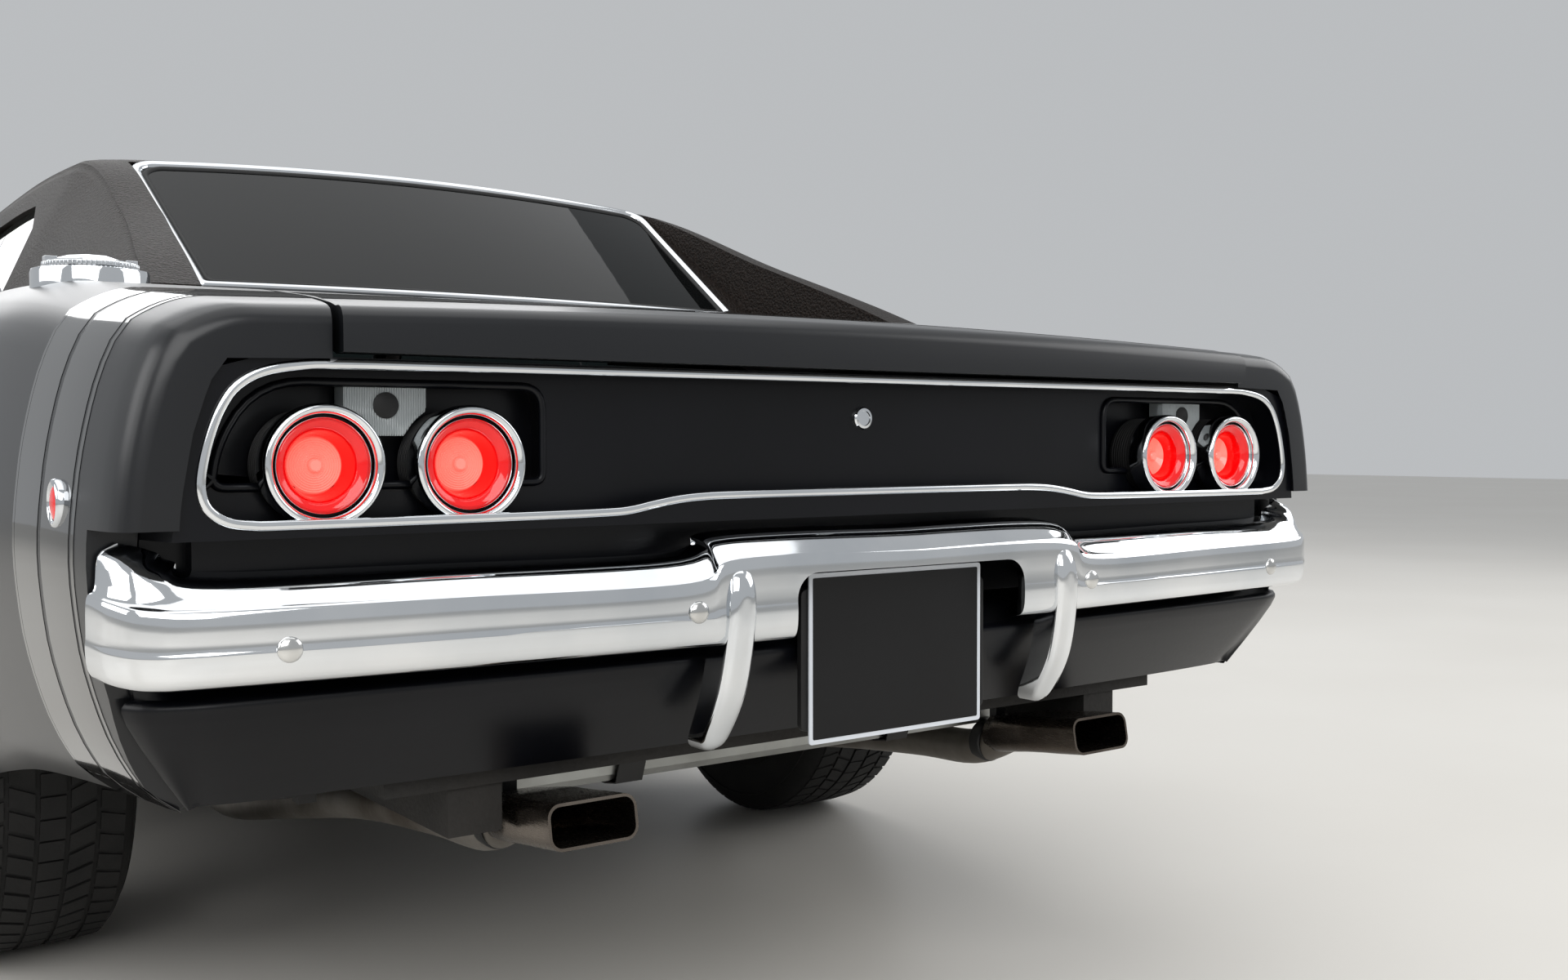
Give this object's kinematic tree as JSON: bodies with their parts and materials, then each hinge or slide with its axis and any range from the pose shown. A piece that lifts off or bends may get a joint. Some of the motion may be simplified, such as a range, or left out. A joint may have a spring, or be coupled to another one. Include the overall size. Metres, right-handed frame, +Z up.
{
  "type": "muscle car",
  "caption": "Two-door hardtop muscle car with flying-buttress roof, recessed tail panel with round lamps, chrome bumpers, opening doors, hood and boot lid.",
  "frame": {"origin": "on the ground, in the middle of the car's length and width", "axes": "+Z up, -Y towards the nose, +X towards the car's left side"},
  "size_m": [1.9426, 5.283, 1.37],
  "materials": {
    "paint": "satin",
    "chrome": "polished",
    "glass": "clear",
    "tyre": "matte",
    "steel": "weathered",
    "vinyl": "grained",
    "underbody": "matte",
    "trim": "matte",
    "lamp": "gloss",
    "leather": "satin",
    "alloy": "machined"
  },
  "bodies": {
    "body_shell": {"floor_pan": "underbody", "fender_L": "paint", "fender_R": "paint", "quarter_L": "paint", "quarter_R": "paint", "nose_panel": "paint", "header_panel": "paint", "cowl_panel": "paint", "deck_panel": "paint", "roof_shell": "vinyl", "windshield": "glass", "backlight": "glass", "quarter_glass_L": "glass", "quarter_glass_R": "glass", "tail_panel": "trim", "tail_lamps_L": "lamp", "tail_lamps_R": "lamp", "rear_bumper": "chrome", "front_bumper": "chrome", "rear_valance": "paint", "front_valance": "paint", "grille": "trim", "headlamps": "chrome", "front_suspension": "underbody", "rear_axle": "underbody", "fuel_tank": "steel", "exhaust_L": "steel", "exhaust_R": "steel", "engine": "underbody", "dashboard": "trim", "seat_L": "leather", "seat_R": "leather", "rear_seat": "leather", "filler_collar": "chrome"},
    "hood": {"hood": "paint"},
    "trunk_lid": {"trunk_lid": "paint"},
    "door_L": {"door_L": "paint", "door_glass_L": "glass"},
    "door_R": {"door_R": "paint", "door_glass_R": "glass"},
    "headlamp_cover_L": {"headlamp_cover_L": "trim"},
    "headlamp_cover_R": {"headlamp_cover_R": "trim"},
    "knuckle_L": {"knuckle_L": "underbody"},
    "knuckle_R": {"knuckle_R": "underbody"},
    "wheel_front_L": {"tyre_front_L": "tyre", "rim_front_L": "alloy"},
    "wheel_front_R": {"tyre_front_R": "tyre", "rim_front_R": "alloy"},
    "wheel_rear_L": {"tyre_rear_L": "tyre", "rim_rear_L": "alloy"},
    "wheel_rear_R": {"tyre_rear_R": "tyre", "rim_rear_R": "alloy"},
    "steering_wheel": {"steering_wheel": "trim"},
    "filler_lid": {"filler_lid": "chrome"}
  },
  "joints": [
    {"name": "steer_L", "type": "hinge", "parent": "body_shell", "child": "knuckle_L", "pos_m": [0.655, -1.665, 0.34], "axis": [0, 0, 1], "range_deg": [-28, 28]},
    {"name": "spin_front_L", "type": "hinge", "parent": "knuckle_L", "child": "wheel_front_L", "pos_m": [0.765, -1.665, 0.34], "axis": [1, 0, 0], "continuous": true},
    {"name": "spin_rear_L", "type": "hinge", "parent": "body_shell", "child": "wheel_rear_L", "pos_m": [0.782, 1.295, 0.34], "axis": [1, 0, 0], "continuous": true},
    {"name": "door_hinge_L", "type": "hinge", "parent": "body_shell", "child": "door_L", "pos_m": [0.922, -0.92, 0.6], "axis": [0, 0, -1], "range_deg": [0, 60]},
    {"name": "cover_pivot_L", "type": "hinge", "parent": "body_shell", "child": "headlamp_cover_L", "pos_m": [0.601, -2.44, 0.635], "axis": [-1, 0, 0], "range_deg": [0, 85]},
    {"name": "steer_R", "type": "hinge", "parent": "body_shell", "child": "knuckle_R", "pos_m": [-0.655, -1.665, 0.34], "axis": [0, 0, 1], "range_deg": [-28, 28]},
    {"name": "spin_front_R", "type": "hinge", "parent": "knuckle_R", "child": "wheel_front_R", "pos_m": [-0.765, -1.665, 0.34], "axis": [1, 0, 0], "continuous": true},
    {"name": "spin_rear_R", "type": "hinge", "parent": "body_shell", "child": "wheel_rear_R", "pos_m": [-0.782, 1.295, 0.34], "axis": [1, 0, 0], "continuous": true},
    {"name": "door_hinge_R", "type": "hinge", "parent": "body_shell", "child": "door_R", "pos_m": [-0.922, -0.92, 0.6], "axis": [0, 0, 1], "range_deg": [0, 60]},
    {"name": "cover_pivot_R", "type": "hinge", "parent": "body_shell", "child": "headlamp_cover_R", "pos_m": [-0.601, -2.44, 0.635], "axis": [-1, 0, 0], "range_deg": [0, 85]},
    {"name": "hood_hinge", "type": "hinge", "parent": "body_shell", "child": "hood", "pos_m": [0, -1.06, 0.966], "axis": [-1, 0, 0], "range_deg": [0, 55]},
    {"name": "trunk_hinge", "type": "hinge", "parent": "body_shell", "child": "trunk_lid", "pos_m": [0, 1.672, 1.022], "axis": [1, 0, 0], "range_deg": [0, 70]},
    {"name": "filler_hinge", "type": "hinge", "parent": "body_shell", "child": "filler_lid", "pos_m": [0.788, 1.886, 1.034], "axis": [1, 0, 0], "range_deg": [0, 80]},
    {"name": "steering_column", "type": "hinge", "parent": "body_shell", "child": "steering_wheel", "pos_m": [0.37, -0.556, 0.792], "axis": [0, 0.9689, 0.2475], "range_deg": [-450, 450]}
  ],
  "couplings": [
    {"joint": "steer_R", "follows": "steer_L", "ratio": 1},
    {"joint": "steering_column", "follows": "steer_L", "ratio": 16}
  ]
}
